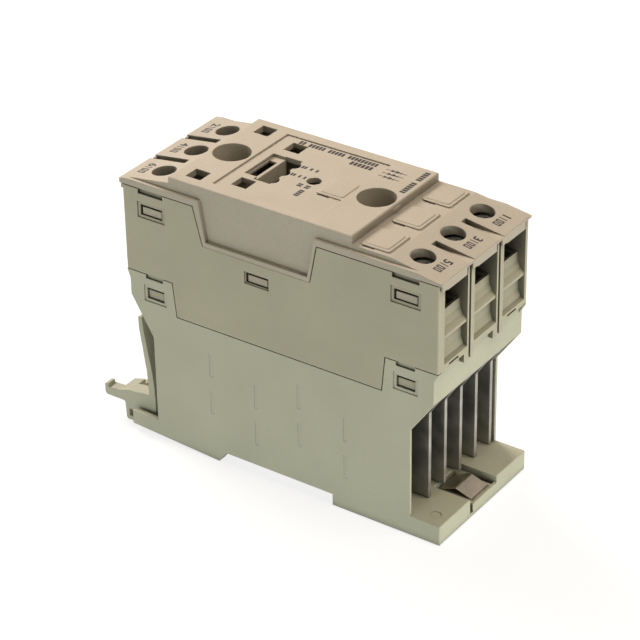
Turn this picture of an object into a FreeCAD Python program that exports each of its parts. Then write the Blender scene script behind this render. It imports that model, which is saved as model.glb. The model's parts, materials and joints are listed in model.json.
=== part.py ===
"""Three-pole solid-state contactor, 45 mm wide, for a 35 mm top-hat rail.

Millimetres. +Z points away from the rail, +X towards the line terminals and +Y across the poles.
The origin is the middle of the footprint, at the height of the feet.
"""

import FreeCAD, Part
import os
import re
import Sketcher

doc = FreeCAD.newDocument("contactor")

# ----------------------------------------------------------------------------- driving dimensions

SIZES = {
    # overall
    "half_length": 59.45, "half_width": 22.5, "seam": 0.25, "skirt_seam": 0.06, "pole_pitch": 14.7,
    "soft_edge": 0.45, "beyond": 1.0, "over_top": 95.0, "under_skirt": 60.0, "under_rim": 80.0,
    # base housing
    "base_wall": 1.65, "wall_thinning": 0.8, "foot_top": 6.1, "foot_inner": 49.6, "chamfer_low": 34.15,
    "base_line_end": 56.95, "line_corner": 44.6, "base_load_end": 44.65, "load_corner": 46.4,
    "load_inner": 37.4, "flare_low": 51.6, "beam_end": 46.85, "beam_lift": 1.8,
    "base_mid_top": 43.6, "base_end_top": 54.4,
    "seam_line_low": 40.6, "seam_line_high": 41.7, "seam_load_low": 28.7, "seam_load_high": 29.8,
    "channel_half": 7.0, "channel_floor": 4.1, "channel_groove": 1.5, "groove_deep": 2.7,
    "relief_line_x": 43.2, "relief_near_x": 31.2, "relief_half": 5.0, "relief_top": 3.9,
    "mark_x": 55.05, "mark_y": 18.1, "mark_width": 3.5, "mark_depth": 0.25,
    "vent_half": 0.55, "vent_length": 7.7, "vent_depth": 0.08,
    "spring_crest": 3.2, "spring_end": 9.2, "spring_half": 4.2, "spring_gauge": 0.4,
    # snap windows and blade notches
    "window_line": 48.05, "window_load": 36.0, "frame_depth": 0.3, "window_frame": 0.9,
    "base_window_half": 3.0, "base_window_low": 46.6, "base_window_high": 50.15,
    "housing_window_half": 3.8, "housing_window_low": 73.3, "housing_window_high": 76.55,
    "middle_window_x": 0.25, "middle_window_half": 3.7, "middle_window_low": 63.0,
    "middle_window_high": 66.1, "middle_frame": 0.4,
    "base_notch_half": 3.0, "base_notch_deep": 0.7, "base_notch_high": 1.2,
    "housing_notch_half": 4.25, "housing_notch_deep": 0.8, "housing_notch_low": 79.95,
    # rail recess, for a 35 mm rail with 1 mm flanges
    "rail_edge": 23.95, "rail_seat": 3.6, "hook_low": 0.9, "hook_top": 2.4, "hook_reach": 1.6,
    "hook_inner": 5.0, "hook_outer": 14.0, "ledge_low": 0.35, "ledge_top": 0.95, "ledge_inner": 18.4,
    "ledge_end": 30.0,
    "lead_in_high": 12.95, "lead_in_low": 15.55,
    # heat sink
    "fin_count": 6, "fin_pitch": 7.94, "fin_thickness": 1.2, "fin_bottom": 6.4, "near_fin_short": 2.5,
    "plate_bottom": 40.0, "plate_top": 44.4, "plate_line_end": 54.2, "plate_load_end": 41.2,
    # upper housing
    "wall": 1.8, "housing_line_end": 58.35, "housing_load_end": 45.65, "rim": 81.3,
    "skirt_bottom": 69.7, "skirt_load_high": 21.5, "skirt_load_low": 18.5,
    "skirt_line_high": 20.0, "skirt_line_low": 17.6,
    "room_half": 4.9, "mouth_far": 6.4, "room_floor": 68.7, "shelf": 1.6, "sill_top": 70.6, "shelf_inset": 0.6,
    "rib_bottom": 52.0, "rib_groove": 0.9, "sill_slot_low": 55.2, "sill_slot_high": 55.75,
    "web_half": 0.8, "web_low": 56.0, "web_high": 62.5,
    "arm_play": 0.15, "arm_thickness": 1.15, "nose_inset": 0.8,
    "base_arm_half": 2.7, "base_arm_low": 46.9, "base_nose_top": 49.3,
    # front cover
    "block_half": 30.45, "block_top": 87.4, "inset": 1.2, "rim_top": 83.4, "roof": 2.0,
    "deck_top": 84.75, "deck_end": 42.25, "line_tip": 59.15, "line_tip_top": 82.2,
    "load_tip": 46.65, "load_tip_top": 83.0, "load_deck_top": 85.4, "lip_bottom": 79.0,
    "driver_hole": 7.0, "well_x": 24.15, "well_bore": 11.0, "well_floor": 76.0,
    "pad_length": 9.3, "pad_width": 10.4, "pad_height": 0.6, "pry_slot": 0.45,
    "pad_corner": 0.9, "pad_rim": 0.9, "pad_step": 0.4, "pad_bevel": 0.15,
    "slot_half": 1.2, "slot_start": 12.2, "slot_rise": 0.1,
    "apron_bottom": 79.7, "apron_half": 7.2,
    "light_x": 4.3, "light_y": -1.0, "light_bore": 4.2, "light_depth": 4.0,
    "outer_square_x": 24.05, "outer_square_y": 15.7, "inner_square_x": 11.15, "inner_square_y": 12.3,
    "square_half": 2.5, "key_low": 11.45, "key_high": 10.45, "key_top": 86.1, "socket_near": 8.9,
    "socket_far": 6.7,
    "recess_load": 17.75, "recess_line": 16.95, "recess_half": 17.6, "recess_depth": 0.4,
    "cover_side": 3.2, "strip_low": 1.45,
    "cover_arm_half": 3.3, "cover_arm_low": 73.55, "cover_nose_top": 75.7,
    "middle_arm_half": 3.2, "middle_arm_low": 63.25, "middle_nose_top": 65.3,
    # screw clamps
    "screw_line_x": 48.45, "screw_load_x": 36.75, "thread": 4.0, "thread_fit": 0.06,
    "head_diameter": 6.3, "head_height": 2.3, "head_bottom": 78.7,
    "box_length": 7.4, "box_half": 4.5, "box_bottom": 68.85, "box_top": 78.2,
    "box_side": 1.0, "box_nut": 2.2, "box_base": 1.1,
    "bar_width": 6.0, "bar_thickness": 1.2, "bar_level": 70.0, "plate_gap": 0.15,
    # power stage and driver board
    "module_half": 13.0, "module_width": 13.0, "module_pitch": 13.7, "module_height": 5.6, "pad_film": 0.4,
    "board_level": 66.0, "board_thickness": 1.6, "board_half_length": 29.5, "board_half_width": 19.0,
    "header_top": 76.5, "pin_top": 82.0, "varistor_x": 13.0, "varistor_pitch": 11.5,
    "varistor_radius": 3.6, "varistor_thickness": 2.6, "coupler_load_x": 18.35, "coupler_line_x": 23.7,
    "post_radius": 3.7, "post_bore": 2.2, "post_top": 73.9,
    # rail clip
    "clip_half": 19.5, "clip_play": 0.25, "clip_plate_low": 1.1, "clip_plate_top": 3.3, "clip_nose": 9.2,
    "clip_leg": 52.1, "clip_shoulder": 54.25, "clip_ear_inner": 16.3, "clip_step_inner": 11.9,
}

sheet = doc.addObject("Spreadsheet::Sheet", "Sizes")
for row, (alias, value) in enumerate(SIZES.items(), start=1):
    sheet.set(f"A{row}", alias)
    sheet.set(f"B{row}", str(value))
    sheet.setAlias(f"B{row}", alias)
doc.recompute()

LINE, LOAD = 1, -1
TINY = 1e-6
SIDES = {LINE: "line", LOAD: "load"}
POLES = {1: 1, 2: 0, 3: -1}
sub_parts = []


# --------------------------------------------------------------------------------- small helpers

def expression(text):
    """A formula over the sheet's aliases, written as FreeCAD wants it."""
    return re.sub(r"[a-z_]\w+", lambda m: "Sizes." + m[0] if m[0] in SIZES else m[0], str(text))


def size(alias):
    return float(sheet.get(alias))


def bind(thing, prop, text):
    thing.setExpression(prop, expression(text))


def minus(text):
    return f"-({text})"


def mirrored(side, text):
    """A distance from the middle, on the line side (+X) or the load side (-X)."""
    return str(text) if side == LINE else minus(text)


def span(side, near, far):
    """The low and high X of a stretch that lies between two distances on one side."""
    if side == LINE:
        return str(near), str(far)
    return minus(far), minus(near)


def block(name, x, y, z):
    """A box from its (low, high) pairs along X, Y and Z."""
    box = doc.addObject("Part::Box", name)
    for prop, axis, (low, high) in zip(("Length", "Width", "Height"), "xyz", (x, y, z)):
        bind(box, prop, f"({high}) - ({low})")
        bind(box, f"Placement.Base.{axis}", low)
    return box


def rod(name, x, y, z, diameter):
    """An upright cylinder at (x, y) between the two heights of z."""
    cylinder = doc.addObject("Part::Cylinder", name)
    bind(cylinder, "Radius", f"({diameter}) / 2")
    bind(cylinder, "Height", f"({z[1]}) - ({z[0]})")
    for axis, place in zip("xyz", (x, y, z[0])):
        bind(cylinder, f"Placement.Base.{axis}", place)
    return cylinder


def across(half):
    return minus(half), half


PLANES = {"XZ_Plane": -1, "XY_Plane": 1}


def attach(body, name, plane, offset):
    """A sketch on one of the body's own origin planes, moved off it along that plane's axis."""
    sketch = body.newObject("Sketcher::SketchObject", name)
    origin_plane = [f for f in body.Origin.OriginFeatures if f.Role == plane][0]
    sketch.AttachmentSupport = [(origin_plane, "")]
    sketch.MapMode = "FlatFace"
    bind(sketch, "AttachmentOffset.Base.z", f"{PLANES[plane]} * ({offset})")
    return sketch


def outline(sketch, points):
    """A closed outline through points whose coordinates are formulas."""
    values = [tuple(sheet_value(c) for c in point) for point in points]
    count = len(points)
    for i in range(count):
        start = FreeCAD.Vector(*values[i], 0)
        end = FreeCAD.Vector(*values[(i + 1) % count], 0)
        sketch.addGeometry(Part.LineSegment(start, end), False)
    for i in range(count):
        sketch.addConstraint(Sketcher.Constraint("Coincident", i, 2, (i + 1) % count, 1))
    for i, point in enumerate(points):
        for kind, coordinate, value in zip(("DistanceX", "DistanceY"), point, values[i]):
            index = sketch.addConstraint(Sketcher.Constraint(kind, -1, 1, i, 1, value))
            bind(sketch, f"Constraints[{index}]", coordinate)


def sheet_value(text):
    """The number that a formula over the sheet's aliases gives."""
    return float(sheet.evalExpression(expression(text)))


def prism(name, plane, points, low, high):
    """A PartDesign body: one sketch, padded along the plane's axis from low to high."""
    body = doc.addObject("PartDesign::Body", name)
    start = high if PLANES[plane] < 0 else low
    sketch = attach(body, name + "_sketch", plane, start)
    outline(sketch, points)
    pad = body.newObject("PartDesign::Pad", name + "_pad")
    pad.Profile = sketch
    bind(pad, "Length", f"({high}) - ({low})")
    body.Tip = pad
    return body


def side_view(name, points, y):
    """A prism drawn in X and Z, reaching from y[0] to y[1]."""
    return prism(name, "XZ_Plane", points, *y)


def plan_view(name, points, z):
    """A prism drawn in X and Y, reaching from z[0] to z[1]."""
    return prism(name, "XY_Plane", points, *z)


def fuse(name, shapes):
    joined = doc.addObject("Part::MultiFuse", name)
    joined.Shapes = list(shapes)
    joined.Refine = True
    return joined


def cut(name, base, tools):
    result = doc.addObject("Part::Cut", name)
    result.Base = base
    result.Tool = tools[0] if len(tools) == 1 else fuse(name + "_tools", tools)
    result.Refine = True
    return result


def bevelled(name, solid, width, wanted):
    """The solid with a bevel of the given width along each edge that wanted() picks."""
    doc.recompute()
    bevel = doc.addObject("Part::Chamfer", name)
    bevel.Base = solid
    picked = [i for i, edge in enumerate(solid.Shape.Edges, start=1) if wanted(edge)]
    bevel.Edges = [(i, width, width) for i in picked]
    return bevel


def rounded(name, solid, radius, wanted):
    """The solid with each edge that wanted() picks rounded."""
    doc.recompute()
    fillet = doc.addObject("Part::Fillet", name)
    fillet.Base = solid
    picked = [i for i, edge in enumerate(solid.Shape.Edges, start=1) if wanted(edge)]
    fillet.Edges = [(i, radius, radius) for i in picked]
    return fillet


def upright(edge):
    return edge.BoundBox.ZLength > 0 and edge.BoundBox.XLength + edge.BoundBox.YLength < TINY


def sub_part(thing, label):
    """Marks an object as a finished piece of the contactor."""
    thing.Label = label
    sub_parts.append(thing)
    return thing


# ----------------------------------------------------------------------------------- base housing

def base_profile():
    """The base's side wall, seen from the side: foot, rail recess, beam and slanted ends."""
    return [
        ("rail_edge", "0"), ("half_length", "0"), ("half_length", "foot_top"),
        ("foot_inner", "foot_top"), ("foot_inner", "chamfer_low"), ("base_line_end", "line_corner"),
        ("base_line_end", "flare_low"), ("housing_line_end", "base_end_top"),
        ("seam_line_high", "base_end_top"), ("seam_line_low", "base_mid_top"),
        ("-seam_load_low", "base_mid_top"), ("-seam_load_high", "base_end_top"),
        ("-housing_load_end", "base_end_top"), ("-base_load_end", "flare_low"),
        ("-base_load_end", "load_corner"), ("-load_inner", "chamfer_low"),
        ("-load_inner", "foot_top"), ("-beam_end", "foot_top"), ("-beam_end", "beam_lift"),
        ("-lead_in_low", "0"), ("-lead_in_high", "rail_seat"), ("rail_edge", "rail_seat"),
    ]


def skins(depth):
    """The near and far slabs of Y that reach the given depth into the side walls."""
    outer = "half_width + beyond"
    return ("near", (minus(outer), f"-half_width + {depth}")), ("far", (f"half_width - {depth}", outer))


def snap_windows(prefix, centres, half, z, frame):
    """Cutters for snap windows through both side walls, with the shallow frame around each."""
    cutters = []
    for i, centre in enumerate(centres):
        x = (f"{centre} - {half}", f"{centre} + {half}")
        wide = (f"{x[0]} - {frame}", f"{x[1]} + {frame}")
        tall = (f"{z[0]} - {frame}", f"{z[1]} + {frame}")
        cutters.append(block(f"{prefix}_{i}", x, across("half_width + beyond"), z))
        for side, y in skins("frame_depth"):
            cutters.append(block(f"{prefix}_{i}_{side}_frame", wide, y, tall))
    return cutters


def edge_notches(prefix, centres, half, z, depth):
    """Cutters for the shallow notches that let a blade in under a wall's edge."""
    cutters = []
    for i, centre in enumerate(centres):
        x = (f"{centre} - {half}", f"{centre} + {half}")
        for side, y in skins(depth):
            cutters.append(block(f"{prefix}_{i}_{side}", x, y, z))
    return cutters


WINDOW_CENTRES = ("window_line", "-window_load")


def rail_hooks():
    """Two fixed hooks that hold one flange of the rail."""
    x = ("rail_edge - hook_reach", "rail_edge + 0.5 * hook_reach")
    return [block(f"rail_hook_{i}", x, span(y, "hook_inner", "hook_outer"), ("hook_low", "hook_top"))
            for i, y in enumerate((LOAD, LINE))]


def clip_ledges():
    """The ledges that carry the rail clip's edges."""
    x = ("-ledge_end", "-lead_in_low - 0.5")
    return [block(f"clip_ledge_{i}", x, span(y, "ledge_inner", "half_width - 1"), ("ledge_low", "ledge_top"))
            for i, y in enumerate((LOAD, LINE))]


def foot_cutters():
    """The rail spring's channel and grooves, the thinned wall ends, the reliefs and a round mark."""
    groove = ("channel_floor - groove_deep", "foot_top")
    cutters = [
        block("spring_channel", ("foot_inner - 2", "half_length + beyond"), across("channel_half"),
              ("channel_floor", "foot_top + beyond")),
        block("far_groove", ("foot_inner + 1.5", "half_length - 0.9"),
              ("channel_half - channel_groove", "channel_half"), groove),
        block("near_groove", ("half_length - 3.2", "half_length + beyond"),
              ("-channel_half", "-channel_half + channel_groove"), groove),
        rod("round_mark", "mark_x", "-mark_y", ("foot_top - mark_depth", "foot_top + beyond"), "mark_width"),
    ]
    inner = "half_width - base_wall"
    for side, y in (("far", (f"{inner} - 0.1", f"{inner} + wall_thinning")),
                    ("near", (minus(f"{inner} + wall_thinning"), minus(f"{inner} - 0.1")))):
        cutters.append(block(f"{side}_wall_thinning", ("foot_inner - 3.5", "foot_inner + beyond"), y,
                             ("foot_top", "chamfer_low")))
    for i, x in enumerate(("relief_near_x", "relief_line_x")):
        cutters.append(block(f"foot_relief_{i}", (f"{x} - relief_half", f"{x} + relief_half"),
                             across("half_width - 2.2"), ("-beyond", "relief_top")))
    return cutters


def make_base_housing():
    profile = side_view("base_walls", base_profile(), across("half_width"))
    walls = rounded("base_walls_soft", profile, size("soft_edge"), foot_end_edge)
    inner = "half_width - base_wall"
    hollow = block("base_hollow", across("half_length + beyond"), across(inner), ("foot_top", "over_top"))
    shell = cut("base_shell", walls, [hollow])
    end_walls = [
        block("line_end_wall", ("base_line_end - base_wall", "base_line_end"),
              across("half_width - base_wall / 2"), ("line_corner", "base_end_top")),
        block("load_end_wall", ("-base_load_end", "-base_load_end + base_wall"),
              across("half_width - base_wall / 2"), ("load_corner", "base_end_top")),
    ]
    body = fuse("base_body", [shell, *end_walls])
    bay_half = "clip_half + clip_play"
    clip_bay = block("clip_bay", ("-half_length", "-lead_in_high + 0.01"), across(bay_half),
                     ("-beyond", "rail_seat"))
    clip_mouth = block("clip_mouth", ("-half_length", "-load_inner"), across(inner), ("-beyond", "8"))
    windows = snap_windows("base_window", WINDOW_CENTRES, "base_window_half",
                           ("base_window_low", "base_window_high"), "window_frame")
    notches = edge_notches("base_notch", WINDOW_CENTRES, "base_notch_half",
                           ("base_end_top - base_notch_high", "base_end_top + beyond"), "base_notch_deep")
    carved = cut("base_carved", body, [clip_bay, clip_mouth, *foot_cutters(), *windows, *notches,
                                       *vent_marks()])
    return sub_part(fuse("base_with_hooks", [carved, *rail_hooks(), *clip_ledges()]), "base_housing")


def foot_end_edge(edge):
    """Picks the four edges round the foot's end face."""
    return edge.BoundBox.XMin > size("half_length") - TINY


def vent_marks():
    """Shallow blind slots in four columns on each side wall."""
    high, low = ("28.0", "15.5"), ("22.8", "10.6")
    columns = (("-17.15", high), ("-1.75", low), ("13.05", high), ("28.45", low))
    cutters = []
    for i, (x, bottoms) in enumerate(columns):
        for j, bottom in enumerate(bottoms):
            for side, y in skins("vent_depth"):
                cutters.append(block(f"vent_mark_{i}_{j}_{side}", (f"{x} - vent_half", f"{x} + vent_half"), y,
                                     (bottom, f"{bottom} + vent_length")))
    return cutters


def make_rail_spring():
    """The bent earthing leaf that lies in the foot's channel."""
    low, high = "channel_floor + 0.02", "foot_top - 0.3"
    start, crest, end = "foot_inner - 1.7", "foot_inner + spring_crest", "foot_inner + spring_end"
    lower = [(start, low), (f"{start} + 0.6", low), (f"{crest} - 0.3", high), (f"{crest} + 0.3", high),
             (f"{end} - 0.7", low), (end, low)]
    upper = [(x, f"{z} + spring_gauge") for x, z in reversed(lower)]
    leaf = side_view("spring_leaf", lower + upper, across("spring_half"))
    return sub_part(leaf, "rail_spring")


# -------------------------------------------------------------------------------------- heat sink

def make_heat_sink():
    """One extrusion: a base plate and a row of fins, cut to the base's slanted ends."""
    body = doc.addObject("PartDesign::Body", "heat_sink_body")
    plate_half = "half_width - wall - 0.1"
    plate_sketch = attach(body, "plate_sketch", "XZ_Plane", plate_half)
    outline(plate_sketch, [("-plate_load_end", "plate_bottom"), ("plate_line_end - 0.8", "plate_bottom"),
                           ("plate_line_end", "plate_bottom + 1.2"), ("plate_line_end", "plate_top"),
                           ("-plate_load_end", "plate_top")])
    plate = body.newObject("PartDesign::Pad", "plate_pad")
    plate.Profile = plate_sketch
    bind(plate, "Length", f"2 * ({plate_half})")
    first_fin = "-(fin_count - 1) / 2 * fin_pitch + fin_thickness / 2"
    fin_sketch = attach(body, "fin_sketch", "XZ_Plane", first_fin)
    outline(fin_sketch, [("-load_inner + 0.3", "fin_bottom"), ("foot_inner - 0.3", "fin_bottom"),
                         ("foot_inner - 0.3", "chamfer_low"), ("plate_line_end - 0.8", "plate_bottom + 0.4"),
                         ("-plate_load_end", "plate_bottom + 0.4"), ("-load_inner + 0.3", "chamfer_low")])
    fin = body.newObject("PartDesign::Pad", "fin_pad")
    fin.Profile = fin_sketch
    bind(fin, "Length", "fin_thickness")
    doc.recompute()
    fins = body.newObject("PartDesign::LinearPattern", "fins")
    fins.Originals = [fin]
    fins.Direction = ([f for f in body.Origin.OriginFeatures if f.Role == "Y_Axis"][0], [""])
    bind(fins, "Length", "(fin_count - 1) * fin_pitch")
    bind(fins, "Occurrences", "fin_count")
    body.Tip = fins
    screw_holes = [rod(f"sink_hole_{SIDES[s]}", mirrored(s, "well_x"), "0",
                       ("plate_bottom - 6", "plate_top + 1"), "thread + 2 * thread_fit")
                   for s in SIDES]
    near_fin_trim = block("near_fin_trim", ("foot_inner - near_fin_short", "plate_line_end + beyond"),
                          ("-half_width", "-half_width + 4"), ("0", "plate_bottom - 1"))
    return sub_part(cut("heat_sink_drilled", body, [*screw_holes, near_fin_trim]), "heat_sink")


# ---------------------------------------------------------------------------------- upper housing

def housing_profile():
    """The upper housing's side, between the two stepped seams."""
    low, mid = "base_end_top + seam", "base_mid_top + seam"
    return [
        ("housing_line_end", low), ("housing_line_end", "rim"), ("skirt_line_high", "rim"),
        ("skirt_line_low", "skirt_bottom"), ("-skirt_load_low", "skirt_bottom"),
        ("-skirt_load_high", "rim"), ("-housing_load_end", "rim"), ("-housing_load_end", low),
        ("-seam_load_high + seam", low), ("-seam_load_low + seam", mid),
        ("seam_line_low - seam", mid), ("seam_line_high - seam", low),
    ]


def end_plane(side):
    return "housing_line_end" if side == LINE else "housing_load_end"


def screw_distance(side):
    """The terminal screws' distance from the middle."""
    return "screw_line_x" if side == LINE else "screw_load_x"


def shelf_edge(side):
    """The inner edge of the shelf that the clamps stand on, as a distance from the middle."""
    return f"{screw_distance(side)} - box_length / 2 - shelf_inset"


def mouth_points(side):
    """The wire mouth of one pole: a slope below the wire, a step, and a slope out to the sill."""
    end = end_plane(side)
    reach = [(f"{end} - 7.5", "sill_top"), (f"{end} - 2.6", "sill_top"), (f"{end} - 2.4", "68.0"),
             (f"{end} - 1.6", "66.2"), (f"{end} - 0.3", "64.8"),
             (f"{end} - 0.3", "64.0"), (f"{end} - 2.0", "63.2"), (f"{end} - 2.0", "59.3"),
             (f"{end} - 1.2", "57.0"), (f"{end}", "56.4"),
             (f"{end} + 1.5", "56.4"), (f"{end} + 1.5", "rim + 1"), (f"{end} - 7.5", "rim + 1")]
    return [(mirrored(side, x), z) for x, z in reach]


def under_shelf_points(side):
    """The hollow under the clamps, one wall thickness behind the mouth's slopes."""
    end = end_plane(side)
    inner = f"{shelf_edge(side)} - 1"
    reach = [(inner, "50"), (f"{end} - 1.6", "50"), (f"{end} - 1.6", "54.9"),
             (f"{end} - 3.6", "57.5"), (f"{end} - 3.6", "65.0"),
             (f"{end} - 3.8", "room_floor - shelf"), (inner, "room_floor - shelf")]
    return [(mirrored(side, x), z) for x, z in reach]


def wire_rooms(side, pole):
    """Cutters for one pole's wire mouth and for the room behind it that holds the clamp."""
    label, row, end = f"{SIDES[side]}_{pole}", POLES[pole], end_plane(side)
    y = (f"{row} * pole_pitch - room_half", f"{row} * pole_pitch + room_half")
    cutters = [
        side_view(f"mouth_{label}", mouth_points(side), (y[0], f"{row} * pole_pitch + mouth_far")),
        block(f"clamp_room_{label}", span(side, f"{shelf_edge(side)} - 0.5", f"{end} - 3.4"), y,
              ("room_floor", "rim + beyond")),
    ]
    if row:
        slot = (f"{row} * pole_pitch - 2.4", f"{row} * pole_pitch + 2.2")
        cutters.append(block(f"sill_slot_{label}", span(side, f"{end} - 0.7", f"{end} + beyond"),
                             slot, ("sill_slot_low", "sill_slot_high")))
    return cutters


def end_ribs(side):
    """The two ribs between the poles, and the cutter of the groove along each."""
    end = end_plane(side)
    base_end = "base_line_end" if side == LINE else "base_load_end"
    ribs, grooves = [], []
    for i, row in enumerate((-0.5, 0.5)):
        middle, rib_half = f"{row} * pole_pitch", "(pole_pitch / 2 - room_half)"
        grooves.append(block(f"rib_groove_{SIDES[side]}_{i}", span(side, f"{end} - 0.8", f"{end} + beyond"),
                             (f"{middle} - rib_groove / 2 + 0.3", f"{middle} + rib_groove / 2 + 0.3"),
                             ("rib_bottom - beyond", "rim + beyond")))
        ribs.append(block(f"long_rib_{SIDES[side]}_{i}", span(side, f"{base_end} + 0.1", end),
                          (f"{middle} - {rib_half}", f"{middle} + {rib_half}"),
                          ("rib_bottom", "base_end_top + beyond")))
    return ribs, grooves


def housing_windows():
    """The snap windows and blade notches in the side walls."""
    cutters = snap_windows("housing_window", WINDOW_CENTRES, "housing_window_half",
                           ("housing_window_low", "housing_window_high"), "window_frame")
    cutters += snap_windows("middle_window", ("-middle_window_x",), "middle_window_half",
                            ("middle_window_low", "middle_window_high"), "middle_frame")
    cutters += edge_notches("housing_notch", WINDOW_CENTRES, "housing_notch_half",
                            ("housing_notch_low", "rim + beyond"), "housing_notch_deep")
    return cutters


def screw_posts():
    """The posts of the stack screws, each tied to both walls by a web."""
    posts = []
    for side, label in SIDES.items():
        x = mirrored(side, "well_x")
        posts.append(rod(f"post_{label}", x, "0", ("plate_top + 0.05", "post_top"), "2 * post_radius"))
        posts.append(block(f"post_web_{label}", (f"{x} - web_half", f"{x} + web_half"),
                           across("half_width - wall / 2"), ("web_low", "web_high")))
    return posts


def base_arms():
    """The four snap arms that reach down into the base, each with its nose."""
    shapes = []
    inner = "half_width - base_wall - arm_play - arm_thickness"
    for i, x in enumerate(WINDOW_CENTRES):
        width = (f"{x} - base_arm_half", f"{x} + base_arm_half")
        for j, y in enumerate((LINE, LOAD)):
            arm = span(y, inner, "half_width - base_wall - arm_play")
            nose = span(y, "half_width - base_wall - 0.3", "half_width - nose_inset")
            root = span(y, inner, "half_width - wall + 0.3")
            shapes.append(block(f"base_arm_{i}_{j}", width, arm, ("base_arm_low", "base_end_top + 2")))
            shapes.append(block(f"base_nose_{i}_{j}", width, nose, ("base_arm_low", "base_nose_top")))
            shapes.append(block(f"base_arm_root_{i}_{j}", width, root,
                                ("base_end_top + 0.4", "base_end_top + 2")))
    return shapes


def housing_corner(edge):
    """Picks the upright edges at the housing's four outer corners."""
    return upright(edge) and edge.BoundBox.ZMax > size("rim") - TINY


def make_upper_housing():
    profile = side_view("housing_outer", housing_profile(), across("half_width"))
    shell = rounded("housing_outer_soft", profile, size("soft_edge"), housing_corner)
    inner = "half_width - wall"
    well = (minus(shelf_edge(LOAD)), shelf_edge(LINE))
    cutters = [block("housing_well", well, across(inner), ("plate_bottom", "over_top"))]
    ribs = []
    for side, label in SIDES.items():
        end = end_plane(side)
        cutters.append(side_view(f"under_shelf_{label}", under_shelf_points(side), across(inner)))
        for pole in POLES:
            cutters += wire_rooms(side, pole)
        side_ribs, grooves = end_ribs(side)
        ribs += side_ribs
        cutters += grooves
        for i, y in enumerate((LOAD, LINE)):
            cutters.append(block(f"arm_room_{label}_{i}", span(side, f"{end} - 14.8", f"{end} - 6.2"),
                                 span(y, "pole_pitch + room_half - 0.1", inner), ("71.5", "rim + beyond")))
    solid = fuse("housing_with_ribs", [shell, *ribs])
    hollow = cut("housing_hollow", solid, cutters + housing_windows())
    posts = screw_posts() + base_arms()
    whole = fuse("housing_whole", [hollow, *posts])
    bores = [rod(f"post_bore_{label}", mirrored(side, "well_x"), "0", ("plate_bottom", "over_top"),
                "2 * post_bore")
             for side, label in SIDES.items()]
    return sub_part(cut("housing_bored", whole, bores), "upper_housing")


# ------------------------------------------------------------------------------------ front cover

def cover_profile():
    """The cover's raised block and the two decks that slope to their tips."""
    low = "rim + seam"
    return [
        ("line_tip", low), ("line_tip", "line_tip_top"), ("deck_end", "deck_top"),
        ("block_half", "deck_top + 0.1"), ("block_half", "block_top"), ("-block_half", "block_top"),
        ("-block_half", "load_deck_top"), ("-load_tip", "load_tip_top"), ("-load_tip", low),
    ]


def rim_profile():
    """The strip that is flush with the housing, down to the skirt between the slanted seams."""
    low, skirt = "rim + seam", "skirt_bottom + skirt_seam"
    line_top = "deck_end + (line_tip - deck_end) * (deck_top - rim_top) / (deck_top - line_tip_top)"
    load_top = ("block_half + (load_tip - block_half) * (load_deck_top - rim_top)"
                " / (load_deck_top - load_tip_top)")
    return [
        ("line_tip", low), ("line_tip", "line_tip_top"), (line_top, "rim_top"),
        (minus(load_top), "rim_top"), ("-load_tip", "load_tip_top"), ("-load_tip", low),
        ("-skirt_load_high + seam", low), ("-skirt_load_low + seam", skirt),
        ("skirt_line_low - seam", skirt), ("skirt_line_high - seam", low),
    ]


def skirt_pocket_points():
    low, high = "skirt_bottom + strip_low", "rim_top + 2"
    return [("-19.85", high), ("-17.35", low), ("16.6", low), ("19.35", high)]


def screw_x(side):
    return mirrored(side, screw_distance(side))


def cover_block_edge(edge):
    """Picks the edges round the top of the raised block and the upright ones at its corners."""
    box, top = edge.BoundBox, size("block_top") - TINY
    return box.ZMin > top or (upright(edge) and box.ZMax > top)


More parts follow.
